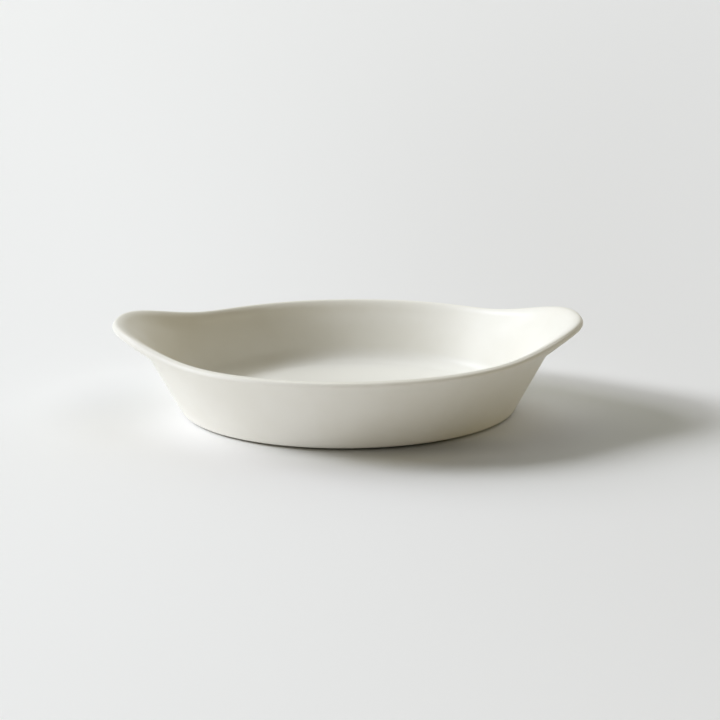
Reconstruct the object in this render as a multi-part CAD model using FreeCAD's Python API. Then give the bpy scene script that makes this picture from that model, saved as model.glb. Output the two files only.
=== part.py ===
"""Oval gratin dish: one fired clay body in its coats of glaze, with an ear drawn out at each end.

Millimetres. The origin is at the middle of the ground foot, +X runs ear to ear and +Z is up.

Every surface is a strip between closed curves. Each curve runs round the dish and is worked out
at the same plan directions, so that neighbouring strips share their edges and keep their tangents.
Sizes are those of the glazed dish, and the clay lies one glaze thickness below the glazed surface.
"""
import FreeCAD
import Part
import math
import os

Vector = FreeCAD.Vector
UP = Vector(0.0, 0.0, 1.0)

# Rim and ears
OVERALL_LENGTH = 240.0      # ear tip to ear tip
OVERALL_WIDTH = 156.0       # across the rim at mid length
RIM_HEIGHT = 37.5           # table to the top of the rim at mid length
EAR_LENGTH = 16.4           # how far an ear stands out past the rim's oval
EAR_RISE = 10.6             # height that the rim gains at an ear
EAR_HALF_SPREAD = 36.5      # distance from the long axis at which an ear has mostly run out
EAR_FULLNESS = 3.4          # exponent of the ear's outline: larger is squarer
LIP_ANGLE = 72.0            # rise of the lip over level along the sides, in degrees
EAR_ANGLE = 35.5            # rise of an ear over level at its tip, in degrees
EDGE_ROUND = 1.2            # radius of the clay's outer corner at the rim
RIM_FLAT = 0.8              # flat left on the rim between its outer corner and its inner shoulder
SHOULDER_LENGTH = 5.5       # how far the rim's soft inner shoulder runs down the lip along the sides
EAR_SHOULDER_LENGTH = 6.0   # the same at an ear's tip

# Wall
LIP_HEIGHT = 7.2            # from the rim's top down to where the lip starts to turn out, outside
INNER_LIP_HEIGHT = 16.0     # the same inside, where the turn is longer and softer
SIDE_OVERHANG = 2.3         # how far the lip stands out past the wall at mid length
END_OVERHANG = 1.75         # the same at the ends, without the ears
SIDE_DRAFT = 10.2           # how far the wall leans out from the table to the lip at mid length
END_DRAFT = 15.5            # the same at the ends
WALL_THICKNESS = 5.0        # clay with both of its coats
HEEL_ROUND = 1.6            # radius of the clay's outside corner between wall and underside
LIP_HANDLE = 0.41           # share of the lip's length over which each end holds its direction

# Floor and foot
FLOOR_THICKNESS = 4.3       # clay with both of its coats
FLOOR_FILLET = 12.0         # inside corner between the wall and the floor
FOOT_HEIGHT = 0.7           # the underside's height over the table
FOOT_INSET = 2.6            # end of the heel's round to the outside of the foot
FOOT_WIDTH = 5.0

# Glaze
GLAZE_THICKNESS = 0.4

# Number of plan directions at which a curve is worked out
DIRECTIONS = 72
SEWING_TOLERANCE = 0.002

# Sizes that follow from those above
HALF_WALL = WALL_THICKNESS / 2.0
FLOOR_HEIGHT = FOOT_HEIGHT + FLOOR_THICKNESS
RIM_OVAL_LENGTH = OVERALL_LENGTH - 2.0 * EAR_LENGTH
RIM_OUTER_ROUND = EDGE_ROUND + GLAZE_THICKNESS
RIM_INNER_ROUND = WALL_THICKNESS - RIM_OUTER_ROUND - RIM_FLAT
NECK_LENGTH = RIM_OVAL_LENGTH - 2.0 * END_OVERHANG
NECK_WIDTH = OVERALL_WIDTH - 2.0 * SIDE_OVERHANG
NECK_HEIGHT = RIM_HEIGHT - LIP_HEIGHT
INNER_NECK_HEIGHT = RIM_HEIGHT - INNER_LIP_HEIGHT
BASE_LENGTH = NECK_LENGTH - 2.0 * END_DRAFT
BASE_WIDTH = NECK_WIDTH - 2.0 * SIDE_DRAFT
HEEL_RADIUS = HEEL_ROUND + GLAZE_THICKNESS


def plan_normal(angle):
    """Level outward direction at a plan angle."""
    return Vector(math.cos(angle), math.sin(angle), 0.0)


def oval_point(length, width, angle, height):
    """Point of a level ellipse at which its outward normal has the plan angle."""
    a = length / 2.0
    b = width / 2.0
    reach = math.hypot(a * math.cos(angle), b * math.sin(angle))
    return Vector(a * a * math.cos(angle) / reach, b * b * math.sin(angle) / reach, height)


def ear_share(y):
    """Share of the full ear at a distance from the long axis: one at the tip, falling to none."""
    return math.exp(-abs(y / EAR_HALF_SPREAD) ** EAR_FULLNESS)


def edge_reach(rise):
    """Level distance from the rim's centre line to its outermost point, for a lip's rise in degrees."""
    lean = math.radians(rise)
    return (HALF_WALL - RIM_OUTER_ROUND) * (math.sin(lean) + math.cos(lean)) + RIM_OUTER_ROUND


def edge_height(rise):
    """Height of the rim's top over its centre line, for a lip's rise in degrees.

    The top lies on the shoulder, a quarter of an ellipse that leans with the lip.
    """
    lean = math.radians(rise)
    top = math.hypot(RIM_INNER_ROUND * math.cos(lean), SHOULDER_LENGTH * math.sin(lean))
    across = (RIM_INNER_ROUND - HALF_WALL) * math.cos(lean)
    along = (SHOULDER_LENGTH - HALF_WALL) * math.sin(lean)
    return top - across - along


def rim_point(angle):
    """Point on the centre line of the rim: an oval, drawn out and up at the ears."""
    half_oval = RIM_OVAL_LENGTH / 2.0 - edge_reach(LIP_ANGLE)
    half_width = OVERALL_WIDTH / 2.0 - edge_reach(LIP_ANGLE)
    half_length = OVERALL_LENGTH / 2.0 - edge_reach(EAR_ANGLE)
    height = RIM_HEIGHT - edge_height(LIP_ANGLE)
    plain = oval_point(2.0 * half_oval, 2.0 * half_width, angle, height)
    share = ear_share(plain.y)
    stretch = 1.0 + share * (half_length / half_oval - 1.0)
    return Vector(plain.x * stretch, plain.y, plain.z + EAR_RISE * share)


class Rim:
    """The rim's centre point at one plan angle, with its two cross directions."""

    def __init__(self, angle):
        step = 1.0e-4
        self.centre = rim_point(angle)
        self.along = rim_point(angle + step).sub(rim_point(angle - step)).normalize()
        level = Vector(self.along.y, -self.along.x, 0.0).normalize()
        share = ear_share(self.centre.y)
        rise = math.radians(LIP_ANGLE + (EAR_ANGLE - LIP_ANGLE) * share)
        lean = level * math.cos(rise) + UP * math.sin(rise)
        # Away from the wall along the lip, square to the rim's own run
        self.out = lean.sub(self.along * lean.dot(self.along)).normalize()
        # Square to the lip, towards the outside of the dish
        self.under = self.out.cross(self.along).normalize()
        if self.under.z > 0.0:
            self.under = self.under * -1.0
        self.shoulder = SHOULDER_LENGTH + (EAR_SHOULDER_LENGTH - SHOULDER_LENGTH) * share

    def at(self, under, out):
        """Point at offsets from the centre line."""
        return self.centre.add(self.under * under).add(self.out * out)


class Wall:
    """The wall at one plan angle: a straight line from the base oval to the neck oval."""

    def __init__(self, angle):
        self.level = plan_normal(angle)
        self.foot = oval_point(BASE_LENGTH, BASE_WIDTH, angle, 0.0)
        neck = oval_point(NECK_LENGTH, NECK_WIDTH, angle, NECK_HEIGHT)
        line = neck.sub(self.foot)
        self.lean = math.atan2(line.dot(self.level), NECK_HEIGHT)
        self.line = line * (1.0 / NECK_HEIGHT)
        # Outward normal, the same all the way up the line
        self.normal = self.level * math.cos(self.lean) - UP * math.sin(self.lean)

    def across(self, height, depth):
        """Point a depth inside the wall, square to it from the line's own point at a height."""
        return self.foot.add(self.line * height).sub(self.normal * depth)

    def at(self, height, depth):
        """Point at a height, on the surface that lies a depth inside the wall."""
        return self.across(height - depth * math.sin(self.lean), depth)

    def corner(self, height, depth, radius):
        """Four points of the round between the wall and a level surface, from the level side up."""
        turn = math.pi / 2.0 - self.lean
        reach = radius * math.tan(turn / 2.0)
        hold = 1.0 - (4.0 / 3.0) * math.tan(turn / 4.0) / math.tan(turn / 2.0)
        point = self.at(height, depth)
        climb = self.line * (reach * math.cos(self.lean))
        return [
            point.sub(self.level * reach),
            point.sub(self.level * (reach * hold)),
            point.add(climb * hold),
            point.add(climb),
        ]


def lip_points(start, start_direction, end, end_direction):
    """Four points of the curve from the neck to the rim that keeps the directions at both ends."""
    hold = LIP_HANDLE * end.sub(start).Length
    return [start, start.add(start_direction * hold), end.sub(end_direction * hold), end]


def round_points(start, corner, end):
    """Four points of the quarter circle or ellipse from start to end, with its square corner given."""
    hold = 4.0 / 3.0 * math.tan(math.pi / 8.0)
    return [start, start.add(corner.sub(start) * hold), end.add(corner.sub(end) * hold), end]


def outer_stretches(angle, coat):
    """Outside of the dish at one plan angle, from the underside to the rim's crest.

    The surface lies a coat's thickness inside the glazed one. Each stretch is a list of points.
    """
    wall = Wall(angle)
    rim = Rim(angle)
    heel = wall.corner(FOOT_HEIGHT + coat, coat, HEEL_RADIUS - coat)
    neck = wall.across(NECK_HEIGHT, coat)
    climb = Vector(wall.line).normalize()
    side = HALF_WALL - coat
    edge = HALF_WALL - RIM_OUTER_ROUND
    lip = lip_points(neck, climb, rim.at(side, edge), rim.out)
    outer_round = round_points(rim.at(side, edge), rim.at(side, side), rim.at(edge, side))
    crest = rim.at(crest_offset(), side)
    return [heel, [heel[-1], neck], lip, outer_round, [outer_round[-1], crest]]


def inner_stretches(angle, coat):
    """Inside of the dish at one plan angle, from the rim's crest down to the floor."""
    wall = Wall(angle)
    rim = Rim(angle)
    side = HALF_WALL - coat
    shoulder = RIM_INNER_ROUND - HALF_WALL
    shoulder_foot = HALF_WALL - rim.shoulder
    depth = WALL_THICKNESS - coat
    crest = rim.at(crest_offset(), side)
    inner_round = round_points(
        rim.at(shoulder, side), rim.at(-side, side), rim.at(-side, shoulder_foot)
    )
    neck = wall.across(INNER_NECK_HEIGHT, depth)
    climb = Vector(wall.line).normalize()
    lip = lip_points(neck, climb, inner_round[-1], rim.out)
    fillet = wall.corner(FLOOR_HEIGHT - coat, depth, FLOOR_FILLET + coat)
    return [[crest, inner_round[0]], inner_round, lip[::-1], [neck, fillet[-1]], fillet[::-1]]


def crest_offset():
    """Middle of the flat that the rim's two rounds leave between them."""
    outer_end = HALF_WALL - RIM_OUTER_ROUND
    inner_end = RIM_INNER_ROUND - HALF_WALL
    return (outer_end + inner_end) / 2.0


def foot_point(angle, inset, height):
    """Point on a curve that runs round the foot, inside the end of the heel's round."""
    wall = Wall(angle)
    heel = wall.corner(FOOT_HEIGHT, 0.0, HEEL_RADIUS)[0]
    return Vector(heel.x, heel.y, height).sub(wall.level * inset)


def around(point_at):
    """Points of a closed curve, one for each plan direction."""
    return [point_at(2.0 * math.pi * i / DIRECTIONS) for i in range(DIRECTIONS)]


def closed_curve(points):
    """Smooth closed curve through points that are spaced evenly in plan direction."""
    curve = Part.BSplineCurve()
    parameters = [i / len(points) for i in range(len(points) + 1)]
    curve.interpolate(Points=points, PeriodicFlag=True, Parameters=parameters)
    return curve


def strip(rows):
    """Face swept between closed rows of points: straight across two rows, curved across four."""
    curves = [closed_curve(row) for row in rows]
    across = len(rows) - 1
    columns = [curve.getPoles() for curve in curves]
    poles = [list(row) for row in zip(*columns)]
    surface = Part.BSplineSurface()
    surface.buildFromPolesMultsKnots(
        poles,
        curves[0].getMultiplicities(),
        [across + 1, across + 1],
        curves[0].getKnots(),
        [0.0, 1.0],
        True,
        False,
        curves[0].Degree,
        across,
    )
    return surface.toShape()


def strips(stretches_at, coat):
    """One face for each stretch of a surface, and the closed rows at its two ends."""
    sides = around(lambda angle: stretches_at(angle, coat))
    faces = []
    for stretch in range(len(sides[0])):
        points = [side[stretch] for side in sides]
        faces.append(strip([list(row) for row in zip(*points)]))
    first_row = [side[0][0] for side in sides]
    last_row = [side[-1][-1] for side in sides]
    return faces, first_row, last_row


def outline(points):
    """Closed wire through a row of points."""
    return Part.Wire([closed_curve(points).toShape()])


def flat(points):
    """Level face inside a closed row of points."""
    return Part.Face(outline(points))


def flat_ring(outer_points, inner_points):
    """Level face between two closed rows of points."""
    wires = [outline(outer_points), outline(inner_points)]
    return Part.makeFace(wires, "Part::FaceMakerBullseye")


def closed_solid(faces):
    """Solid bounded by faces that meet edge to edge."""
    shell = Part.Shell(faces)
    shell.sewShape(SEWING_TOLERANCE)
    solid = Part.Solid(shell.Shells[0])
    if solid.Volume < 0.0:
        solid.reverse()
    if not solid.isValid() or not solid.isClosed():
        raise ValueError("the faces do not close a solid")
    return solid


def foot_row(inset, height):
    """Closed row of points round the foot."""
    return around(lambda angle: foot_point(angle, inset, height))


def clay_body():
    """Fired clay: floor, wall, rim, both ears and the foot, whose ground face stays bare."""
    outside, heel_row, _ = strips(outer_stretches, GLAZE_THICKNESS)
    inside, _, floor_row = strips(inner_stretches, GLAZE_THICKNESS)
    underside = FOOT_HEIGHT + GLAZE_THICKNESS
    foot_inner = FOOT_INSET + FOOT_WIDTH
    foot = [
        flat_ring(heel_row, foot_row(FOOT_INSET, underside)),
        strip([foot_row(FOOT_INSET, underside), foot_row(FOOT_INSET, 0.0)]),
        flat_ring(foot_row(FOOT_INSET, 0.0), foot_row(foot_inner, 0.0)),
        strip([foot_row(foot_inner, 0.0), foot_row(foot_inner, underside)]),
        flat(foot_row(foot_inner, underside)),
    ]
    return closed_solid(foot + outside + inside + [flat(floor_row)])


def outer_glaze():
    """Coat on the outside, from the foot up over the heel, wall and ears to the rim's crest."""
    skin, skin_heel, skin_crest = strips(outer_stretches, 0.0)
    seat, seat_heel, seat_crest = strips(outer_stretches, GLAZE_THICKNESS)
    skin_foot = foot_row(FOOT_INSET, FOOT_HEIGHT)
    seat_foot = foot_row(FOOT_INSET, FOOT_HEIGHT + GLAZE_THICKNESS)
    ends = [
        flat_ring(skin_heel, skin_foot),
        strip([skin_foot, seat_foot]),
        flat_ring(seat_heel, seat_foot),
        strip([skin_crest, seat_crest]),
    ]
    return closed_solid(skin + seat + ends)


def inner_glaze():
    """Coat on the inside, from the rim's crest over the ears and wall to the floor."""
    skin, skin_crest, skin_floor = strips(inner_stretches, 0.0)
    seat, seat_crest, seat_floor = strips(inner_stretches, GLAZE_THICKNESS)
    ends = [flat(skin_floor), flat(seat_floor), strip([skin_crest, seat_crest])]
    return closed_solid(skin + seat + ends)


def base_glaze():
    """Separate patch of glaze under the floor, inside the foot."""
    inset = FOOT_INSET + FOOT_WIDTH
    skin = foot_row(inset, FOOT_HEIGHT)
    seat = foot_row(inset, FOOT_HEIGHT + GLAZE_THICKNESS)
    return closed_solid([flat(skin), flat(seat), strip([skin, seat])])


PIECES = {
    "clay_body": clay_body,
    "outer_glaze": outer_glaze,
    "inner_glaze": inner_glaze,
    "base_glaze": base_glaze,
}


def main():
    """Builds every piece and writes it to its own file."""
    os.makedirs("parts", exist_ok=True)
    for name, build in PIECES.items():
        build().exportStep("parts/" + name + ".step")


main()
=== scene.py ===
"""Oval gratin dish in a satin off-white glaze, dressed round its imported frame.

Metres, in the frame's own axes: the origin is at the middle of the foot, +X runs from ear to ear
and +Z is up. Every surface of the dish is a grid with one column for each plan direction and one
row for each step along the section of the wall in that direction.
"""

import logging
import math
from dataclasses import dataclass, field
from enum import Enum

import bpy
import numpy as np
from mathutils import Matrix, Vector

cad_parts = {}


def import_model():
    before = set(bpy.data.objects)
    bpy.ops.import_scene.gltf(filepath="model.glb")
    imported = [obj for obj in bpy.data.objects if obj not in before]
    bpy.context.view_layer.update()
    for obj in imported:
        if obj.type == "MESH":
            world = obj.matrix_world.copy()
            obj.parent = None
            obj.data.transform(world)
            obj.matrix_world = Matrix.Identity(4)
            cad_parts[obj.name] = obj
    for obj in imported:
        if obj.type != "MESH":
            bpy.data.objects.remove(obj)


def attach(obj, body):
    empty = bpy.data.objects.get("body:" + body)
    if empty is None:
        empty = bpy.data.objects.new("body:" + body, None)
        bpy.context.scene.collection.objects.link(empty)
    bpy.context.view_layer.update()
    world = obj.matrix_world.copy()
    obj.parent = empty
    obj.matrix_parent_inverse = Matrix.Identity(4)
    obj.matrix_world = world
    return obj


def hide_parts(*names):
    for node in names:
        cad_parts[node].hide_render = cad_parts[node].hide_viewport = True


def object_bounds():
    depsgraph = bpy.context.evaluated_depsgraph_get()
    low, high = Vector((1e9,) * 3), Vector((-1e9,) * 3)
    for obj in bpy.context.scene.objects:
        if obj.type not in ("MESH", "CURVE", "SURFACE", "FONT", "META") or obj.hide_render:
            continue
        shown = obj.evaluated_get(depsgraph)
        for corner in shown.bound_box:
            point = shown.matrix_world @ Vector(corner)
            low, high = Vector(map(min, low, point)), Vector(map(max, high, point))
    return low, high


LOG = logging.getLogger("gratin_dish")

UP = np.array([0.0, 0.0, 1.0])
PLAN = np.array([1.0, 1.0, 0.0])
PHOTO_WIDTH = 720
NOISE_MIDDLE = 0.5

# Places of the colour sockets on Blender's Mix node, whose other sockets have the same names.
MIX_FACTOR, MIX_FIRST, MIX_SECOND, MIX_RESULT = 0, 6, 7, 2

Colour = tuple[float, float, float]
Point = tuple[float, float, float]
Limits = tuple[float, float]
Stretch = list[np.ndarray]


class Slot(Enum):
    """Material slots of the record."""

    BARE_CLAY = "bare_clay"
    GLAZE = "glaze"


def unit(vectors: np.ndarray) -> np.ndarray:
    """Vectors of length one along the last axis."""
    return vectors / np.linalg.norm(vectors, axis=-1, keepdims=True)


def bezier(points: Stretch, count: int) -> np.ndarray:
    """Rows along a stretch, without its last one.

    A stretch of two points is straight, (1 - s) P0 + s P1. One of four is the cubic
    (1 - s)^3 P0 + 3 s (1 - s)^2 P1 + 3 s^2 (1 - s) P2 + s^3 P3. Both have s evenly spaced.

    Args:
        points: Two or four arrays, each with one point for each column.
        count: Number of rows.

    Returns:
        Array of rows, columns and coordinates.
    """
    s = np.linspace(0.0, 1.0, count, endpoint=False)[:, None, None]
    if len(points) == 2:
        return points[0] * (1.0 - s) + points[1] * s
    first, second, third, last = points
    near = first * (1.0 - s) ** 3 + 3.0 * second * s * (1.0 - s) ** 2
    return near + 3.0 * third * s**2 * (1.0 - s) + last * s**3


def quarter_round(start: np.ndarray, corner: np.ndarray, end: np.ndarray) -> Stretch:
    """Cubic quarter circle or ellipse from start to end inside their square corner."""
    hold = 4.0 / 3.0 * math.tan(math.pi / 8.0)
    return [start, start + (corner - start) * hold, end + (corner - end) * hold, end]


@dataclass
class DishForm:
    """The dish's shape: its sizes over the glaze, and its wall at every plan direction.

    The wall is a straight line from a base oval to a neck oval. Above the neck a lip turns out to
    the rim, which is an oval too, drawn out and up at its two ends into the ears. All ovals are
    ellipses, and a column joins their points that have the same outward normal in plan. Angles
    among the sizes are in degrees.
    """

    overall_length: float
    overall_width: float
    rim_height: float = 0.0375
    ear_length: float = 0.0164
    ear_rise: float = 0.0106
    ear_half_spread: float = 0.0365
    ear_fullness: float = 3.4
    lip_angle: float = 72.0
    ear_angle: float = 35.5
    edge_round: float = 0.0016
    rim_flat: float = 0.0008
    shoulder_length: float = 0.0055
    ear_shoulder_length: float = 0.0060
    lip_height: float = 0.0072
    inner_lip_height: float = 0.0160
    lip_handle: float = 0.41
    side_overhang: float = 0.0023
    end_overhang: float = 0.00175
    side_draft: float = 0.0102
    end_draft: float = 0.0155
    wall_thickness: float = 0.0050
    heel_radius: float = 0.0020
    floor_thickness: float = 0.0043
    floor_fillet: float = 0.0120
    foot_height: float = 0.0007
    foot_inset: float = 0.0026
    foot_width: float = 0.0050
    foot_edge: float = 0.0003
    glaze_thickness: float = 0.0004
    columns: int = 480

    def __post_init__(self) -> None:
        """Works out the wall and the rim at every plan direction."""
        self.half_wall = self.wall_thickness / 2.0
        self.shoulder_round = self.wall_thickness - self.edge_round - self.rim_flat
        self.floor_height = self.foot_height + self.floor_thickness
        self.rim_oval_length = self.overall_length - 2.0 * self.ear_length
        self.angle = np.linspace(0.0, 2.0 * math.pi, self.columns, endpoint=False)
        self._place_wall()
        self._place_rim()

    def _oval(self, length: float, width: float, angle: np.ndarray, height: float) -> np.ndarray:
        """Points of a level ellipse at which its outward normal has the plan angles.

        With half axes a and b the point is (a^2 cos t, b^2 sin t) / hypot(a cos t, b sin t).

        Args:
            length: Whole axis along X.
            width: Whole axis along Y.
            angle: Plan angles t, in radians.
            height: Height of the ellipse.

        Returns:
            One point for each angle.
        """
        a, b = length / 2.0, width / 2.0
        cos, sin = np.cos(angle), np.sin(angle)
        reach = np.hypot(a * cos, b * sin)
        return np.stack([a * a * cos / reach, b * b * sin / reach, np.full_like(cos, height)], -1)

    def _place_wall(self) -> None:
        """Line of the wall from the base oval to the neck oval, its lean and outward normal."""
        neck_height = self.rim_height - self.lip_height
        neck_length = self.rim_oval_length - 2.0 * self.end_overhang
        neck_width = self.overall_width - 2.0 * self.side_overhang
        base_length = neck_length - 2.0 * self.end_draft
        base_width = neck_width - 2.0 * self.side_draft
        self.level = np.stack([np.cos(self.angle), np.sin(self.angle), 0.0 * self.angle], -1)
        self.base = self._oval(base_length, base_width, self.angle, 0.0)
        self.neck = self._oval(neck_length, neck_width, self.angle, neck_height)
        line = self.neck - self.base
        self.lean = np.arctan2(np.sum(line * self.level, -1), neck_height)[:, None]
        self.line = line / neck_height
        self.climb = unit(line)
        self.normal = self.level * np.cos(self.lean) - UP * np.sin(self.lean)

    def _ear_share(self, across: np.ndarray) -> np.ndarray:
        """Share of the full ear at a distance y from the long axis: exp(-|y / spread|^fullness)."""
        return np.exp(-np.abs(across / self.ear_half_spread) ** self.ear_fullness)

    def _edge_reach(self, rise: float) -> float:
        """Level distance from the rim's centre line to its outermost point.

        The outer corner's middle lies as far out along the lip as under it, and the corner's
        radius comes on top: (half wall - round) (sin + cos) + round.

        Args:
            rise: Rise of the lip over level.

        Returns:
            The distance.
        """
        lean = math.radians(rise)
        flat = self.half_wall - self.edge_round
        return flat * (math.sin(lean) + math.cos(lean)) + self.edge_round

    def _edge_height(self, rise: float) -> float:
        """Height of the rim's top over its centre line.

        The top lies on the shoulder, a quarter ellipse that leans with the lip. Its height over
        the ellipse's middle is the hypotenuse of both half axes' upright parts.

        Args:
            rise: Rise of the lip over level.

        Returns:
            The height.
        """
        lean = math.radians(rise)
        across = (self.shoulder_round - self.half_wall) * math.cos(lean)
        along = (self.shoulder_length - self.half_wall) * math.sin(lean)
        top = math.hypot(
            self.shoulder_round * math.cos(lean), self.shoulder_length * math.sin(lean)
        )
        return top - across - along

    def _rim_points(self, angle: np.ndarray) -> np.ndarray:
        """Centre line of the rim: an oval, stretched along X and raised by the ear's share.

        Args:
            angle: Plan angles, in radians.

        Returns:
            One point for each angle.
        """
        half_oval = self.rim_oval_length / 2.0 - self._edge_reach(self.lip_angle)
        half_width = self.overall_width / 2.0 - self._edge_reach(self.lip_angle)
        half_length = self.overall_length / 2.0 - self._edge_reach(self.ear_angle)
        height = self.rim_height - self._edge_height(self.lip_angle)
        points = self._oval(2.0 * half_oval, 2.0 * half_width, angle, height)
        share = self._ear_share(points[:, 1])
        points[:, 0] *= 1.0 + share * (half_length / half_oval - 1.0)
        points[:, 2] += self.ear_rise * share
        return points

    def _place_rim(self) -> None:
        """Centre line of the rim with its two cross directions: out along the lip, and under it."""
        step = 1.0e-4
        self.centre = self._rim_points(self.angle)
        ahead = self._rim_points(self.angle + step)
        along = unit(ahead - self._rim_points(self.angle - step))
        level = unit(np.stack([along[:, 1], -along[:, 0], 0.0 * self.angle], -1))
        share = self._ear_share(self.centre[:, 1])[:, None]
        rise = np.radians(self.lip_angle + (self.ear_angle - self.lip_angle) * share)
        gain = self.ear_shoulder_length - self.shoulder_length
        self.shoulder = self.shoulder_length + gain * share
        lean = level * np.cos(rise) + UP * np.sin(rise)
        self.out = unit(lean - along * np.sum(lean * along, -1, keepdims=True))
        under = unit(np.cross(self.out, along))
        self.under = np.where(under[:, 2:3] > 0.0, -under, under)

    def rim_at(self, under: float, out: float | np.ndarray) -> np.ndarray:
        """Row at offsets from the rim's centre line."""
        return self.centre + self.under * under + self.out * out

    def across(self, height: float | np.ndarray, depth: float) -> np.ndarray:
        """Row a depth inside the wall, square across from a height on its outside."""
        return self.base + self.line * height - self.normal * depth

    def wall_at(self, height: float, depth: float) -> np.ndarray:
        """Row at a height on the surface that lies a depth inside the wall."""
        return self.across(height - depth * np.sin(self.lean), depth)

    def corner(self, height: float, depth: float, radius: float) -> Stretch:
        """Cubic round between the wall and a level surface, from the level side up.

        The round leaves both sides at radius * tan(turn / 2) from their corner.

        Args:
            height: Height of the level surface.
            depth: Depth of the wall's surface inside the wall.
            radius: Radius of the round.

        Returns:
            Four rows of points.
        """
        turn = math.pi / 2.0 - self.lean
        reach = radius * np.tan(turn / 2.0)
        hold = 1.0 - (4.0 / 3.0) * np.tan(turn / 4.0) / np.tan(turn / 2.0)
        point = self.wall_at(height, depth)
        rise = self.line * (reach * np.cos(self.lean))
        start = point - self.level * reach
        return [start, point - self.level * (reach * hold), point + rise * hold, point + rise]

    def lip(self, neck: np.ndarray, rim: np.ndarray) -> Stretch:
        """Cubic from the neck to the rim that leaves along the wall and arrives along the lip."""
        hold = self.lip_handle * np.linalg.norm(rim - neck, axis=-1, keepdims=True)
        return [neck, neck + self.climb * hold, rim - self.out * hold, rim]

    def crest(self, coat: float) -> np.ndarray:
        """Row along the middle of the rim's flat, a coat below the glazed surface."""
        middle = (self.shoulder_round - self.edge_round) / 2.0
        return self.rim_at(middle, self.half_wall - coat)

    def foot_row(self, inset: float, height: float) -> np.ndarray:
        """Row round the foot at an inset from the end of the heel's round."""
        row = self.corner(self.foot_height, 0.0, self.heel_radius)[0] - self.level * inset
        return row * PLAN + UP * height

    def outside(self, coat: float) -> list[Stretch]:
        """Stretches of the outside: heel, wall, lip, outer corner, flat.

        Args:
            coat: Depth below the glazed surface.

        Returns:
            Stretches from the underside up to the crest.
        """
        heel = self.corner(self.foot_height + coat, coat, self.heel_radius - coat)
        neck = self.neck - self.normal * coat
        side = self.half_wall - coat
        edge = self.half_wall - self.edge_round
        turn = quarter_round(
            self.rim_at(side, edge), self.rim_at(side, side), self.rim_at(edge, side)
        )
        return [heel, [heel[-1], neck], self.lip(neck, turn[0]), turn, [turn[-1], self.crest(coat)]]

    def inside(self, coat: float) -> list[Stretch]:
        """Stretches of the inside: flat, shoulder, lip, wall, fillet.

        Args:
            coat: Depth below the glazed surface.

        Returns:
            Stretches from the crest down to the floor.
        """
        side = self.half_wall - coat
        edge = self.shoulder_round - self.half_wall
        depth = self.wall_thickness - coat
        turn = quarter_round(
            self.rim_at(edge, side),
            self.rim_at(-side, side),
            self.rim_at(-side, self.half_wall - self.shoulder),
        )
        neck = self.across(self.rim_height - self.inner_lip_height, depth)
        lip = self.lip(neck, turn[-1])[::-1]
        fillet = self.corner(self.floor_height - coat, depth, self.floor_fillet + coat)[::-1]
        return [[self.crest(coat), turn[0]], turn, lip, [neck, fillet[0]], fillet]


def section(stretches: list[Stretch], counts: tuple[int, ...]) -> np.ndarray:
    """Rows along several stretches that follow each other, and the last one's end.

    Args:
        stretches: Stretches in order.
        counts: Number of rows that each stretch gets.

    Returns:
        Array of rows, columns and coordinates.
    """
    rows = [bezier(points, count) for points, count in zip(stretches, counts)]
    return np.concatenate(rows + [stretches[-1][-1][None]])


def inward(edge: np.ndarray, count: int) -> np.ndarray:
    """Level rows that shrink from just inside an edge row towards its middle, s times the edge."""
    s = np.linspace(1.0, 0.0, count + 1, endpoint=False)[1:, None, None]
    return edge * (s * PLAN + UP)


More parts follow.
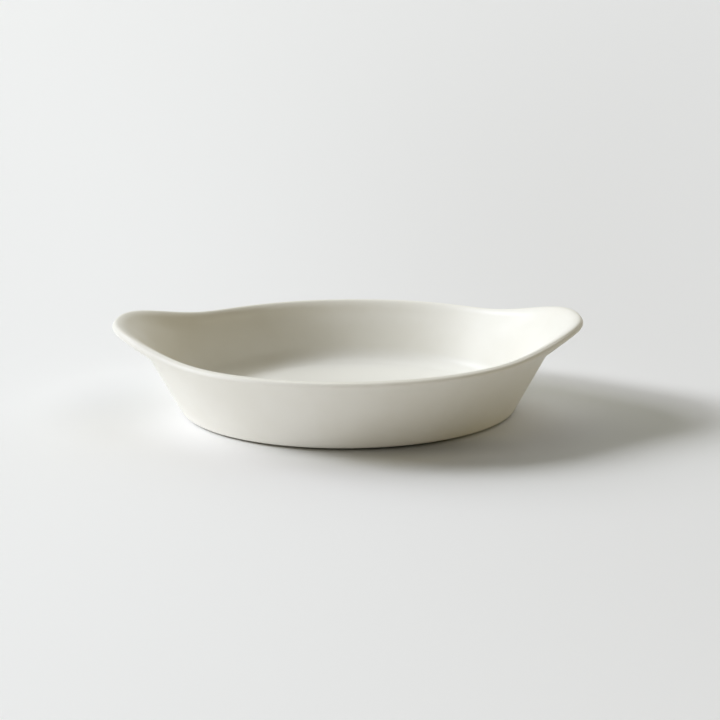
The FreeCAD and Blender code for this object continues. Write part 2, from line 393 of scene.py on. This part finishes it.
class SkinMesh:
    """A closed skin of rows and columns, with or without a pole at each end."""

    def __init__(self, rows: np.ndarray) -> None:
        """Keeps the rows, each of which closes on itself."""
        self.rows = rows
        self.values: dict[str, np.ndarray] = {}

    def carry(self, name: str, row_values: np.ndarray) -> None:
        """Adds a value that is the same along each row, for a material to read."""
        self.values[name] = np.repeat(row_values, self.rows.shape[1])

    def _quads(self, closed: bool) -> np.ndarray:
        """Corner numbers of the quads between neighbouring rows and columns.

        Args:
            closed: Whether the last row joins the first.

        Returns:
            Four numbers for each quad.
        """
        count, columns = self.rows.shape[:2]
        row = np.arange(count if closed else count - 1)[:, None]
        column = np.arange(columns)[None, :]
        after = (column + 1) % columns
        above = (row + 1) % count
        corners = [row * columns + column, row * columns + after]
        corners += [above * columns + after, above * columns + column]
        return np.stack(np.broadcast_arrays(*corners), -1).reshape(-1, 4)

    def _fans(self) -> np.ndarray:
        """Corner numbers of the triangles from the first and last row to the two poles.

        Returns:
            Three numbers for each triangle.
        """
        count, columns = self.rows.shape[:2]
        column = np.arange(columns)
        after = (column + 1) % columns
        last = (count - 1) * columns
        first_pole = np.full(columns, count * columns)
        start = np.stack([after, column, first_pole], -1)
        end = np.stack([last + column, last + after, first_pole + 1], -1)
        return np.concatenate([start, end])

    def to_object(self, name: str, poles: bool, flat_rows: tuple[int, ...]) -> bpy.types.Object:
        """Makes the Blender object.

        Args:
            name: Name of the piece.
            poles: Whether both ends close in a pole, or else the last row joins the first.
            flat_rows: Rows whose quads to the next row are shaded flat, as cut ends are.

        Returns:
            The object, at the origin, with its faces turned outwards.
        """
        columns = self.rows.shape[1]
        points = self.rows.reshape(-1, 3)
        quads = self._quads(not poles)
        fans = np.zeros((0, 3), int)
        if poles:
            points = np.concatenate([points, self.rows[[0, -1]].mean(1)])
            fans = self._fans()
        if self._volume(points, quads, fans) < 0.0:
            quads, fans = quads[:, ::-1], fans[:, ::-1]
        mesh = bpy.data.meshes.new(name)
        mesh.from_pydata(points.tolist(), [], quads.tolist() + fans.tolist())
        smooth = np.ones(len(quads) + len(fans), bool)
        smooth[: len(quads)] = ~np.isin(np.arange(len(quads)) // columns, flat_rows)
        mesh.polygons.foreach_set("use_smooth", smooth)
        for value_name, values in self.values.items():
            ends = values[[0, -1]] if poles else values[:0]
            layer = mesh.attributes.new(value_name, "FLOAT", "POINT")
            layer.data.foreach_set("value", np.concatenate([values, ends]).astype(np.float32))
        mesh.update()
        piece = bpy.data.objects.new(name, mesh)
        bpy.context.scene.collection.objects.link(piece)
        return piece

    @staticmethod
    def _volume(points: np.ndarray, quads: np.ndarray, fans: np.ndarray) -> float:
        """Signed volume inside the faces: the sum of p0 . (p1 x p2) / 6 over their triangles.

        Args:
            points: Points of the mesh.
            quads: Corner numbers of its quads.
            fans: Corner numbers of its triangles.

        Returns:
            The volume, which is negative where the faces point inwards.
        """
        triangles = np.concatenate([quads[:, [0, 1, 2]], quads[:, [0, 2, 3]], fans])
        first, second, third = (points[triangles[:, i]] for i in range(3))
        return float(np.sum(first * np.cross(second, third)) / 6.0)


class Wiring:
    """Adds nodes to a node tree and joins their sockets."""

    def __init__(self, tree: bpy.types.NodeTree) -> None:
        """Keeps the tree."""
        self.tree = tree

    def add(self, kind: str, **settings: object) -> bpy.types.Node:
        """Adds a node.

        Args:
            kind: Blender's type name of the node.
            settings: Values of the node's own properties.

        Returns:
            The node.
        """
        node = self.tree.nodes.new(kind)
        for name, value in settings.items():
            setattr(node, name, value)
        return node

    def join(self, source: bpy.types.NodeSocket, target: bpy.types.NodeSocket) -> None:
        """Joins an output to an input."""
        self.tree.links.new(source, target)

    def noise(
        self, place: bpy.types.NodeSocket, scale: bpy.types.NodeSocket, detail: float
    ) -> bpy.types.NodeSocket:
        """Adds a noise texture.

        Args:
            place: Coordinates in metres.
            scale: Scale per metre.
            detail: How many finer layers it has.

        Returns:
            The noise's socket.
        """
        node = self.add("ShaderNodeTexNoise")
        node.inputs["Detail"].default_value = detail
        self.join(place, node.inputs["Vector"])
        self.join(scale, node.inputs["Scale"])
        return node.outputs["Fac"]

    def math(self, operation: str, first: object, second: object) -> bpy.types.NodeSocket:
        """Adds a calculation with two values, each a socket or a number.

        Args:
            operation: Blender's name of the operation.
            first: First value.
            second: Second value.

        Returns:
            The result's socket.
        """
        node = self.add("ShaderNodeMath", operation=operation)
        for value, target in zip((first, second), node.inputs):
            if isinstance(value, (int, float)):
                target.default_value = value
            else:
                self.join(value, target)
        return node.outputs[0]

    def stretch(self, value: bpy.types.NodeSocket, low: float, high: float) -> bpy.types.NodeSocket:
        """Adds a smooth step that takes low to none and high to one.

        Args:
            value: Value to step.
            low: Where the step starts.
            high: Where it ends.

        Returns:
            The step's socket.
        """
        node = self.add("ShaderNodeMapRange", interpolation_type="SMOOTHSTEP")
        node.inputs["From Min"].default_value = low
        node.inputs["From Max"].default_value = high
        self.join(value, node.inputs["Value"])
        return node.outputs["Result"]

    def blend(
        self, factor: bpy.types.NodeSocket, first: object, second: object
    ) -> bpy.types.NodeSocket:
        """Adds a mix of two colours.

        Args:
            factor: Share of the second colour.
            first: Socket or colour.
            second: Socket or colour.

        Returns:
            The mixed colour's socket.
        """
        node = self.add("ShaderNodeMix", data_type="RGBA")
        self.join(factor, node.inputs[MIX_FACTOR])
        for value, place in ((first, MIX_FIRST), (second, MIX_SECOND)):
            if isinstance(value, tuple):
                node.inputs[place].default_value = (*value, 1.0)
            else:
                self.join(value, node.inputs[place])
        return node.outputs[MIX_RESULT]

    def bump(self, height: bpy.types.NodeSocket, shader: bpy.types.Node) -> None:
        """Adds a bump to a shader.

        Args:
            height: Height in metres.
            shader: Shader whose normal the bump turns.
        """
        node = self.add("ShaderNodeBump")
        node.inputs["Distance"].default_value = 1.0
        self.join(height, node.inputs["Height"])
        self.join(node.outputs["Normal"], shader.inputs["Normal"])


@dataclass(frozen=True)
class NoiseLayer:
    """One layer of an effect: how much finer than the effect it is, its detail and its share."""

    fineness: float
    detail: float
    share: float


class SurfaceEffect(Enum):
    """Effects that several finishes share."""

    MOTTLE = "kiln_mottle"
    GRAIN = "fired_grain"

    def tree(self) -> bpy.types.NodeTree:
        """The effect's node group, built on first use.

        Returns:
            The group.
        """
        found = bpy.data.node_groups.get(self.value)
        if found is not None:
            return found
        tree = bpy.data.node_groups.new(self.value, "ShaderNodeTree")
        tree.interface.new_socket("Scale", in_out="INPUT", socket_type="NodeSocketFloat")
        tree.interface.new_socket("Mask", in_out="OUTPUT", socket_type="NodeSocketFloat")
        self._wire(Wiring(tree))
        return tree

    def _wire(self, wiring: Wiring) -> None:
        """Wires two layers of noise: broad clouds for the mottle, fine pits for the grain.

        Args:
            wiring: The group's node tree.
        """
        layers = {
            SurfaceEffect.MOTTLE: (NoiseLayer(1.0, 2.0, 0.7), NoiseLayer(4.3, 1.0, 0.3)),
            SurfaceEffect.GRAIN: (NoiseLayer(1.0, 2.0, 0.6), NoiseLayer(3.7, 1.0, 0.4)),
        }[self]
        entry = wiring.add("NodeGroupInput")
        leave = wiring.add("NodeGroupOutput")
        place = wiring.add("ShaderNodeTexCoord").outputs["Object"]
        total: object = 0.0
        for layer in layers:
            scale = wiring.math("MULTIPLY", entry.outputs["Scale"], layer.fineness)
            noise = wiring.noise(place, scale, layer.detail)
            total = wiring.math("ADD", total, wiring.math("MULTIPLY", noise, layer.share))
        wiring.join(total, leave.inputs["Mask"])

    def place(self, wiring: Wiring, scale: float) -> bpy.types.NodeSocket:
        """Puts the effect into a material.

        Args:
            wiring: The material's node tree.
            scale: Scale per metre.

        Returns:
            The mask's socket.
        """
        node = wiring.add("ShaderNodeGroup", node_tree=self.tree())
        node.inputs["Scale"].default_value = scale
        return node.outputs["Mask"]


def new_material(name: str) -> tuple[bpy.types.Material, Wiring, bpy.types.Node]:
    """Makes a material that holds a Principled shader.

    Args:
        name: Name of the material.

    Returns:
        The material, its wiring and its shader.
    """
    material = bpy.data.materials.new(name)
    material.use_nodes = True
    wiring = Wiring(material.node_tree)
    return material, wiring, material.node_tree.nodes["Principled BSDF"]


@dataclass(frozen=True)
class GlazeFinish:
    """Satin off-white glaze: clouded, a little thin on edges, thicker and paler on the floor.

    The floor's paler colour is thicker glaze and partly painted light on the up-facing floor.
    """

    colour: Colour = (0.866, 0.848, 0.785)
    cloud_colour: Colour = (0.851, 0.831, 0.762)
    thin_colour: Colour = (0.82, 0.79, 0.712)
    # Paler floor colour: thicker glaze, and partly painted light on the up-facing floor.
    pool_and_lit_floor_colour: Colour = (0.916, 0.904, 0.856)
    thin_share: float = 0.35
    thin_least: float = 0.5
    roughness: float = 0.42
    roughness_spread: float = 0.10
    cloud_scale: float = 28.0
    cloud_limits: Limits = (0.35, 0.65)
    grain_scale: float = 420.0
    swell_scale: float = 62.0
    grain_depth: float = 0.000012
    swell_depth: float = 0.00009

    def material(self) -> bpy.types.Material:
        """Builds the glaze's material.

        The thin edge follows the clouds, from its least share of full strength upwards.

        Returns:
            The material.
        """
        material, wiring, shader = new_material("satin_glaze")
        mottle = SurfaceEffect.MOTTLE.place(wiring, self.cloud_scale)
        cloud = wiring.stretch(mottle, *self.cloud_limits)
        thin = wiring.add("ShaderNodeAttribute", attribute_name="thin").outputs["Fac"]
        # Pool share: thicker glaze on the inside's floor, whose paler colour is partly painted
        # light.
        pool_and_lit_floor = wiring.add("ShaderNodeAttribute", attribute_name="pool_and_lit_floor").outputs["Fac"]
        colour = wiring.blend(cloud, self.colour, self.cloud_colour)
        colour = wiring.blend(pool_and_lit_floor, colour, self.pool_and_lit_floor_colour)
        uneven = wiring.math("MULTIPLY", cloud, 1.0 - self.thin_least)
        uneven = wiring.math("ADD", uneven, self.thin_least)
        worn = wiring.math("MULTIPLY", thin, uneven)
        worn = wiring.math("MULTIPLY", worn, self.thin_share)
        colour = wiring.blend(worn, colour, self.thin_colour)
        wiring.join(colour, shader.inputs["Base Color"])
        grain = SurfaceEffect.GRAIN.place(wiring, self.grain_scale)
        rough = wiring.math("SUBTRACT", grain, NOISE_MIDDLE)
        rough = wiring.math("MULTIPLY", rough, self.roughness_spread)
        wiring.join(wiring.math("ADD", rough, self.roughness), shader.inputs["Roughness"])
        swell = SurfaceEffect.MOTTLE.place(wiring, self.swell_scale)
        height = wiring.math("MULTIPLY", swell, self.swell_depth)
        height = wiring.math("ADD", height, wiring.math("MULTIPLY", grain, self.grain_depth))
        wiring.bump(height, shader)
        return material


@dataclass(frozen=True)
class BareClayFinish:
    """Fired clay left bare on the foot: matt, sandy and specked."""

    colour: Colour = (0.66, 0.575, 0.45)
    pale_colour: Colour = (0.74, 0.67, 0.55)
    speck_colour: Colour = (0.34, 0.26, 0.19)
    roughness: float = 0.86
    cloud_scale: float = 60.0
    cloud_limits: Limits = (0.3, 0.7)
    grain_scale: float = 900.0
    grain_depth: float = 0.00012
    speck_scale: float = 650.0
    speck_limits: Limits = (0.62, 0.72)
    speck_share: float = 0.5

    def material(self) -> bpy.types.Material:
        """Builds the clay's material.

        Returns:
            The material.
        """
        material, wiring, shader = new_material("bare_clay")
        shader.inputs["Roughness"].default_value = self.roughness
        mottle = SurfaceEffect.MOTTLE.place(wiring, self.cloud_scale)
        cloud = wiring.stretch(mottle, *self.cloud_limits)
        colour = wiring.blend(cloud, self.colour, self.pale_colour)
        pits = SurfaceEffect.GRAIN.place(wiring, self.speck_scale)
        speck = wiring.stretch(pits, *self.speck_limits)
        speck = wiring.math("MULTIPLY", speck, self.speck_share)
        wiring.join(wiring.blend(speck, colour, self.speck_colour), shader.inputs["Base Color"])
        grain = SurfaceEffect.GRAIN.place(wiring, self.grain_scale)
        wiring.bump(wiring.math("MULTIPLY", grain, self.grain_depth), shader)
        return material


@dataclass
class ClayBody:
    """The fired clay: floor, wall, rim, both ears and the bare foot."""

    form: DishForm
    finish: BareClayFinish = field(default_factory=BareClayFinish)
    node: str = "clay_body"
    well_rows: int = 12
    foot_rows: tuple[int, ...] = (2, 4, 8, 4, 2, 3)
    outside_rows: tuple[int, ...] = (6, 12, 16, 4, 1)
    inside_rows: tuple[int, ...] = (1, 6, 16, 10, 12)
    floor_rows: int = 8

    def foot(self) -> list[Stretch]:
        """Stretches of the foot, with its ground edges softly rounded.

        Returns:
            Stretches from the well to the heel.
        """
        form = self.form
        underside = form.foot_height + form.glaze_thickness
        near, far = form.foot_inset + form.foot_width, form.foot_inset
        edge = form.foot_edge
        inner = quarter_round(
            form.foot_row(near, edge), form.foot_row(near, 0.0), form.foot_row(near - edge, 0.0)
        )
        outer = quarter_round(
            form.foot_row(far + edge, 0.0), form.foot_row(far, 0.0), form.foot_row(far, edge)
        )
        top = form.foot_row(far, underside)
        heel = form.outside(form.glaze_thickness)[0][0]
        return [
            [form.foot_row(near, underside), inner[0]],
            inner,
            [inner[-1], outer[0]],
            outer,
            [outer[-1], top],
            [top, heel],
        ]

    def build(self) -> bpy.types.Object:
        """Makes the clay's skin, from the well over the foot, wall and rim to the inside's floor.

        Returns:
            The clay's object.
        """
        form = self.form
        foot = self.foot()
        well = inward(foot[0][0], self.well_rows)[::-1]
        under = section(foot, self.foot_rows)[:-1]
        outside = section(form.outside(form.glaze_thickness), self.outside_rows)[:-1]
        inside = section(form.inside(form.glaze_thickness), self.inside_rows)
        floor = inward(inside[-1], self.floor_rows)
        skin = SkinMesh(np.concatenate([well, under, outside, inside, floor]))
        cut = self.well_rows
        return skin.to_object(self.node + "_fired", True, (cut - 1, cut, cut + 1))

    def dress(self, piece: bpy.types.Object) -> None:
        """Gives the clay its finish."""
        piece.data.materials.append(self.finish.material())


class Coat(Enum):
    """The three coats of glaze, by the node that each stands for."""

    OUTER = "outer_glaze"
    INNER = "inner_glaze"
    BASE = "base_glaze"


@dataclass
class GlazeCoats:
    """The glaze: an outer coat, an inner coat and a patch under the floor."""

    form: DishForm
    finish: GlazeFinish = field(default_factory=GlazeFinish)
    outer_skin: tuple[int, ...] = (5, 3, 10, 22, 30, 10, 2)
    outer_seat: tuple[int, ...] = (4, 8, 12, 4, 1)
    inner_skin: tuple[int, ...] = (2, 12, 34, 18, 26)
    inner_seat: tuple[int, ...] = (1, 4, 12, 8, 10)
    floor_rows: int = 16
    seat_floor_rows: int = 6
    bead_rows: int = 6
    base_seat_rows: int = 4
    rim_fade: float = 0.0035

    def _bead(self, inset: float, way: float) -> Stretch:
        """Soft edge with which a coat ends at the foot: a quarter round as deep as the coat.

        Args:
            inset: Inset of the foot's side.
            way: One where the glaze lies inside the foot, minus one where it lies outside.

        Returns:
            Four rows from the clay down to the glaze's skin.
        """
        form = self.form
        depth = form.glaze_thickness
        skin, seat = form.foot_height, form.foot_height + depth
        shift = inset + way * depth
        return quarter_round(
            form.foot_row(inset, seat), form.foot_row(inset, skin), form.foot_row(shift, skin)
        )

    def outer(self) -> tuple[np.ndarray, int]:
        """Rows of the outer coat: skin from the foot to the crest, seat back down to the heel.

        Returns:
            The rows, and how many of them are skin.
        """
        form = self.form
        skin, seat = form.outside(0.0), form.outside(form.glaze_thickness)
        bead = self._bead(form.foot_inset, -1.0)
        over = section([bead, [bead[-1], skin[0][0]]] + skin, self.outer_skin)
        below = section(seat, self.outer_seat)
        return np.concatenate([over, below[::-1]]), len(over)

    def inner(self) -> tuple[np.ndarray, int]:
        """Rows of the inner coat: seat from the middle of the floor to the crest, skin back.

        Returns:
            The rows, and how many of them are seat.
        """
        form = self.form
        over = section(form.inside(0.0), self.inner_skin)
        below = section(form.inside(form.glaze_thickness), self.inner_seat)
        over_floor = inward(over[-1], self.floor_rows)
        below_floor = inward(below[-1], self.seat_floor_rows)
        rows = [below_floor[::-1], below[::-1], over, over_floor]
        return np.concatenate(rows), len(below_floor) + len(below)

    def base(self) -> np.ndarray:
        """Rows of the patch under the floor: its seat, its soft edge and its skin.

        Returns:
            The rows.
        """
        inset = self.form.foot_inset + self.form.foot_width
        bead = section([self._bead(inset, 1.0)], (self.bead_rows,))
        seat = inward(bead[0], self.base_seat_rows)[::-1]
        return np.concatenate([seat, bead, inward(bead[-1], self.floor_rows)])

    def _thinning(self, rows: np.ndarray, skin_rows: slice) -> np.ndarray:
        """Share by which the glaze is thin: one on the rim, and none past the fade from it.

        Args:
            rows: Rows of a coat.
            skin_rows: Which of them are skin. The seat has no share.

        Returns:
            One share for each row, as a smooth step of the row's mean distance from the crest.
        """
        crest = self.form.crest(0.0)
        distance = np.linalg.norm(rows - crest, axis=-1).mean(1)
        thin = np.clip(1.0 - distance / self.rim_fade, 0.0, 1.0)
        kept = np.zeros(len(rows))
        kept[skin_rows] = thin[skin_rows] ** 2 * (3.0 - 2.0 * thin[skin_rows])
        return kept

    def build(self, coat: Coat) -> bpy.types.Object:
        """Makes one coat, thin on the rim and pooled on the inside's floor, with painted light
        there.

        The pool_and_lit_floor share, thicker glaze that is also painted light on the floor, grows
        over the floor's round, the inside's last stretch, as a squared sine.

        Args:
            coat: Which coat.

        Returns:
            The coat's object.
        """
        name = coat.value + "_coat"
        if coat is Coat.OUTER:
            rows, crest = self.outer()
            skin = SkinMesh(rows)
            skin.carry("thin", self._thinning(rows, slice(0, crest)))
            skin.carry("pool_and_lit_floor", np.zeros(len(rows)))
            return skin.to_object(name, False, (crest - 1,))
        if coat is Coat.INNER:
            rows, crest = self.inner()
            skin = SkinMesh(rows)
            skin.carry("thin", self._thinning(rows, slice(crest, len(rows))))
            start, end = crest + sum(self.inner_skin[:-1]), crest + sum(self.inner_skin)
            turn = np.clip((np.arange(len(rows)) - start) / (end - start), 0.0, 1.0)
            # The floor's pool share: thicker glaze, and painted light on the up-facing floor.
            skin.carry("pool_and_lit_floor", np.sin(0.5 * math.pi * turn) ** 2)
            return skin.to_object(name, True, (crest - 1,))
        rows = self.base()
        skin = SkinMesh(rows)
        skin.carry("thin", np.zeros(len(rows)))
        skin.carry("pool_and_lit_floor", np.zeros(len(rows)))
        return skin.to_object(name, True, ())

    def dress(self, pieces: list[bpy.types.Object]) -> None:
        """Gives all coats the one glaze.

        Args:
            pieces: Objects of the coats.
        """
        material = self.finish.material()
        for piece in pieces:
            piece.data.materials.append(material)


@dataclass(frozen=True)
class PaintedLightPatch:
    """Soft oval of painted shade or painted light on the table: its middle, its reach along x and
    y, its colour.
    """

    middle: Point
    reach: Point
    colour: Colour

    def over(
        self, wiring: Wiring, point: bpy.types.NodeSocket, colour: bpy.types.NodeSocket
    ) -> bpy.types.NodeSocket:
        """Lays the painted shade or light over a colour, by a smooth step of the distance as a
        share of its reach.

        Args:
            wiring: Node tree to add to.
            point: Place on the table.
            colour: Colour round the patch.

        Returns:
            The colour with the patch in it.
        """
        shift = wiring.add("ShaderNodeVectorMath", operation="SUBTRACT")
        wiring.join(point, shift.inputs[0])
        shift.inputs[1].default_value = self.middle
        share = wiring.add("ShaderNodeVectorMath", operation="DIVIDE")
        wiring.join(shift.outputs[0], share.inputs[0])
        share.inputs[1].default_value = self.reach
        off = wiring.add("ShaderNodeVectorMath", operation="LENGTH")
        wiring.join(share.outputs[0], off.inputs[0])
        return wiring.blend(wiring.stretch(off.outputs["Value"], 0.0, 1.0), self.colour, colour)


@dataclass
class Table:
    """Plain pale table that runs on to the horizon."""

    # Painted shade: the paint is lighter on the left and darker to the right, as if the light fell
    # off.
    painted_light_left: Colour = (0.905, 0.915, 0.905)
    painted_shade_right: Colour = (0.770, 0.772, 0.755)
    painted_light_patches: tuple[PaintedLightPatch, ...] = (
        # Painted shade under the left ear, against the light that the lit wall throws on the table.
        PaintedLightPatch((-0.104, 0.006, 0.0), (0.068, 0.068, 1.0), (0.718, 0.727, 0.722)),
        # Painted shadow along the near side of the foot.
        PaintedLightPatch((0.020, -0.060, 0.0), (0.070, 0.022, 1.0), (0.355, 0.365, 0.39)),
        # Painted light that lifts the cast shadow beside the right wall.
        PaintedLightPatch((0.090, -0.006, 0.0), (0.080, 0.058, 1.0), (0.95, 0.95, 0.94)),
    )
    reach: float = 40.0
    shade_reach: float = 0.36
    shade_start: float = 0.5
    roughness: float = 0.75
    shine: float = 0.15

    def build(self) -> bpy.types.Object:
        """Makes the level sheet: a grid of three by three points at no height.

        Returns:
            The table's object.
        """
        steps = np.linspace(-self.reach, self.reach, 3)
        across, along = np.meshgrid(steps, steps)
        points = np.stack([across, along, 0.0 * across], -1).reshape(-1, 3)
        corner = np.array([0, 1, 3, 4])
        quads = np.stack([corner, corner + 1, corner + 4, corner + 3], -1)
        mesh = bpy.data.meshes.new("table")
        mesh.from_pydata(points.tolist(), [], quads.tolist())
        mesh.update()
        piece = bpy.data.objects.new("table", mesh)
        bpy.context.scene.collection.objects.link(piece)
        return piece

    def dress(self, piece: bpy.types.Object) -> None:
        """Gives the table a pale matt paint with painted shade that darkens it slowly to the right.

        The painted shade follows x / hypot(x, y, start), so that it keeps its direction far off.
        One patch of painted shade under the lit ear holds back the light that the wall throws, one
        of painted shadow along the near side of the foot deepens the shade there, and a pale one of
        painted light lifts the shadow on the right.

        Args:
            piece: The table's object.
        """
        material, wiring, shader = new_material("pale_table")
        shader.inputs["Roughness"].default_value = self.roughness
        shader.inputs["Specular IOR Level"].default_value = self.shine
        place = wiring.add("ShaderNodeSeparateXYZ")
        point = wiring.add("ShaderNodeTexCoord").outputs["Object"]
        wiring.join(point, place.inputs[0])
        off = wiring.add("ShaderNodeVectorMath", operation="LENGTH")
        lifted = wiring.add("ShaderNodeCombineXYZ")
        wiring.join(place.outputs["X"], lifted.inputs["X"])
        wiring.join(place.outputs["Y"], lifted.inputs["Y"])
        lifted.inputs["Z"].default_value = self.shade_start
        wiring.join(lifted.outputs[0], off.inputs[0])
        # Painted shade: the paint darkens from the left towards the right.
        side = wiring.math("DIVIDE", place.outputs["X"], off.outputs["Value"])
        across = wiring.stretch(side, -self.shade_reach, self.shade_reach)
        colour = wiring.blend(across, self.painted_light_left, self.painted_shade_right)
        # Each patch lays painted shade or painted light over the paint.
        for patch in self.painted_light_patches:
            colour = patch.over(wiring, point, colour)
        wiring.join(colour, shader.inputs["Base Color"])
        piece.data.materials.append(material)


class Lit(Enum):
    """What a lamp lights."""

    DISH = "dish_lit"
    TABLE = "table_lit"


@dataclass(frozen=True)
class SoftLamp:
    """A wide soft lamp far off, which lights the dish or the table.

    Its bearing, from +X towards +Y, its height over the table and its spread are in degrees.
    """

    name: str
    lit: Lit
    bearing: float
    height: float
    spread: float
    strength: float
    colour: Colour

    def build(self, receivers: bpy.types.Collection) -> None:
        """Makes the lamp and turns it towards the dish.

        Args:
            receivers: Objects that the lamp lights.
        """
        lamp = bpy.data.lights.new(self.name, "SUN")
        lamp.energy = self.strength
        lamp.angle = math.radians(self.spread)
        lamp.color = self.colour
        holder = bpy.data.objects.new(self.name, lamp)
        bearing, height = math.radians(self.bearing), math.radians(self.height)
        towards = Vector((
            math.cos(bearing) * math.cos(height),
            math.sin(bearing) * math.cos(height),
            math.sin(height),
        ))
        holder.rotation_euler = towards.to_track_quat("Z", "Y").to_euler()
        holder.light_linking.receiver_collection = receivers
        bpy.context.scene.collection.objects.link(holder)


@dataclass(frozen=True)
class Lighting:
    """Soft light from the left, weaker light from behind, a little from the right, a pale room.

    The table's window stands lower than the dish's, so that the shadow reaches as far as in the
    photograph while the inside of the dish keeps its soft shading.
    """

    lamps: tuple[SoftLamp, ...] = (
        SoftLamp("window", Lit.DISH, 172.0, 44.0, 14.0, 1.61, (0.837, 0.888, 1.0)),
        SoftLamp("side", Lit.DISH, 192.0, 20.0, 14.0, 0.77, (0.895, 0.945, 1.0)),
        SoftLamp("low_side", Lit.DISH, 212.0, 6.0, 14.0, 0.66, (0.91, 0.93, 1.0)),
        SoftLamp("back", Lit.DISH, 103.0, 58.0, 34.0, 1.0, (0.98, 1.0, 0.945)),
        SoftLamp("fill", Lit.DISH, 340.0, 5.0, 14.0, 0.21, (1.0, 0.80, 0.35)),
        SoftLamp("table_window", Lit.TABLE, 152.0, 29.0, 30.0, 2.06, (0.90, 0.89, 1.0)),
        SoftLamp("table_side", Lit.TABLE, 166.0, 28.0, 16.0, 2.07, (0.92, 0.95, 1.0)),
        SoftLamp("table_back", Lit.TABLE, 110.0, 40.0, 60.0, 0.53, (0.97, 1.0, 0.78)),
        SoftLamp("table_right", Lit.TABLE, 50.0, 40.0, 60.0, 0.72, (0.74, 0.82, 1.0)),
    )
    room_strength: float = 0.13
    room_colour: Colour = (1.0, 0.84, 0.48)
    surround_colour: Colour = (0.72, 0.73, 0.72)

    def build(self, dish: list[bpy.types.Object], table: list[bpy.types.Object]) -> None:
        """Makes the lamps and the room's light.

        Args:
            dish: Objects of the dish.
            table: Objects that it stands on.
        """
        receivers: dict[Lit, bpy.types.Collection] = {}
        for lit, pieces in ((Lit.DISH, dish), (Lit.TABLE, table)):
            receivers[lit] = bpy.data.collections.new(lit.value)
            for piece in pieces:
                receivers[lit].objects.link(piece)
        for lamp in self.lamps:
            lamp.build(receivers[lamp.lit])
        self._light_room()

    def _light_room(self) -> None:
        """Makes the room: a dim warm light, and a pale surround where it is seen or mirrored."""
        world = bpy.data.worlds.new("room")
        world.use_nodes = True
        wiring = Wiring(world.node_tree)
        room = world.node_tree.nodes["Background"]
        room.inputs["Color"].default_value = (*self.room_colour, 1.0)
        room.inputs["Strength"].default_value = self.room_strength
        surround = wiring.add("ShaderNodeBackground")
        surround.inputs["Color"].default_value = (*self.surround_colour, 1.0)
        ray = wiring.add("ShaderNodeLightPath")
        seen = wiring.math("MAXIMUM", ray.outputs["Is Camera Ray"], ray.outputs["Is Glossy Ray"])
        seen = wiring.math("MAXIMUM", seen, ray.outputs["Is Transmission Ray"])
        mixed = wiring.add("ShaderNodeMixShader")
        wiring.join(seen, mixed.inputs[0])
        wiring.join(room.outputs[0], mixed.inputs[1])
        wiring.join(surround.outputs[0], mixed.inputs[2])
        wiring.join(mixed.outputs[0], world.node_tree.nodes["World Output"].inputs["Surface"])
        bpy.context.scene.world = world


@dataclass(frozen=True)
class PhotoCamera:
    """The camera at the photograph's place, found by fitting the dish's outline."""

    elevation: float = 17.827
    turn: float = 0.593
    roll: float = -0.266
    aim: Point = (0.0058, 0.0, 0.024311)
    middle: Point = (0.0, 0.0, 0.018)
    distance: float = 0.62395
    focal_pixels: float = 1200.0
    sensor: float = 36.0

    def build(self) -> None:
        """Makes the camera and looks through it."""
        rise, turn, roll = (math.radians(a) for a in (self.elevation, self.turn, self.roll))
        back = Vector((
            -math.sin(turn) * math.cos(rise), -math.cos(turn) * math.cos(rise), math.sin(rise)
        ))
        eye = Vector(self.middle) + back * self.distance
        forward = (Vector(self.aim) - eye).normalized()
        level = forward.cross(Vector((0.0, 0.0, 1.0))).normalized()
        above = level.cross(forward)
        right = level * math.cos(roll) + above * math.sin(roll)
        up = above * math.cos(roll) - level * math.sin(roll)
        lens = bpy.data.cameras.new("photo_camera")
        lens.sensor_width = self.sensor
        lens.lens = self.sensor * self.focal_pixels / PHOTO_WIDTH
        camera = bpy.data.objects.new("photo_camera", lens)
        turned = Matrix((right, up, -forward)).transposed().to_4x4()
        camera.matrix_world = Matrix.Translation(eye) @ turned
        bpy.context.scene.collection.objects.link(camera)
        bpy.context.scene.camera = camera


def settle(piece: bpy.types.Object, node: str) -> None:
    """Ties a piece to the dish's one body and the node that it stands for.

    Args:
        piece: Object of the piece.
        node: Node that it replaces.
    """
    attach(piece, "root")
    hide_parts(node)
    LOG.info("%s stands for %s, %d faces", piece.name, node, len(piece.data.polygons))


def main() -> None:
    """Builds the dish, its table, its light and its camera."""
    logging.basicConfig(level=logging.INFO, format="%(name)s: %(message)s")
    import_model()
    cad_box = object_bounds()
    low, high = cad_box
    form = DishForm(overall_length=high.x - low.x, overall_width=high.y - low.y)

    clay = ClayBody(form)
    body = clay.build()
    clay.dress(body)
    settle(body, clay.node)

    coats = GlazeCoats(form)
    skins = [coats.build(coat) for coat in Coat]
    coats.dress(skins)
    for skin, coat in zip(skins, Coat):
        settle(skin, coat.value)

    table = Table()
    sheet = table.build()
    table.dress(sheet)
    Lighting().build([body, *skins], [sheet])
    PhotoCamera().build()
    bpy.context.scene.view_settings.view_transform = "Standard"


if __name__ == "__main__":
    main()
